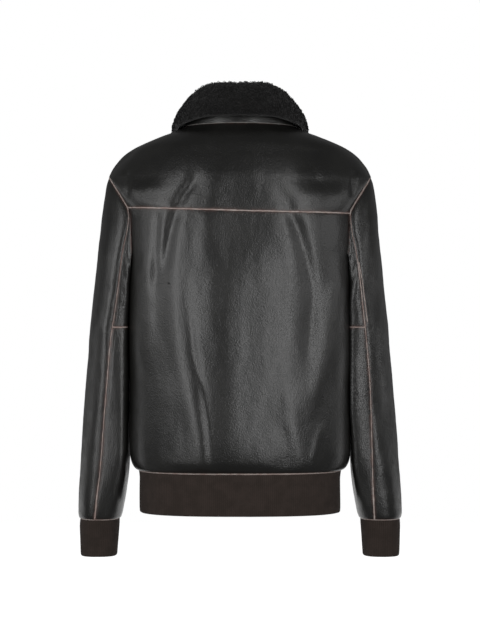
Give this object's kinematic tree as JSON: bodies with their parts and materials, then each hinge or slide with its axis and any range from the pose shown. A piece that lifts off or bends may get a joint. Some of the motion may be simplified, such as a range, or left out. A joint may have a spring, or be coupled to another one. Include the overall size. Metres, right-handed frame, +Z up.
{
  "type": "leather jacket",
  "caption": "Hollow leather jacket with a curly fleece fall collar, a back yoke, dropped shoulders, seamed sleeves, rib knit hem and cuffs, and a front zip.",
  "frame": {"origin": "middle of the shoulder line, where the wearer's shoulders carry the jacket", "axes": "+Z up, the fronts and the zip face -Y, the wearer's left sleeve is on +X"},
  "size_m": [0.5532, 0.2652, 0.7954],
  "materials": {
    "leather": "soft satin black leather with fine grain",
    "fleece": "matte black curly fleece",
    "knit": "matte rib knit",
    "tape": "woven zip tape",
    "metal": "brushed"
  },
  "bodies": {
    "garment": {"back_yoke": "leather", "back_panel": "leather", "front_left": "leather", "front_right": "leather", "sleeve_outer_left": "leather", "sleeve_outer_right": "leather", "sleeve_under_upper_left": "leather", "sleeve_under_upper_right": "leather", "sleeve_under_lower_left": "leather", "sleeve_under_lower_right": "leather", "collar_leather": "leather", "collar_fleece": "fleece", "hem_rib": "knit", "cuff_left": "knit", "cuff_right": "knit", "zip_tape_left": "tape", "zip_tape_right": "tape", "zip_slider": "metal", "zip_box": "metal"},
    "pull_tab": {"zip_pull": "metal"}
  },
  "joints": [
    {"name": "pull_tab_swing", "type": "hinge", "parent": "garment", "child": "pull_tab", "pos_m": [0, -0.08706, -0.08384], "axis": [-1, 0, 0], "range_deg": [0, 150]}
  ]
}
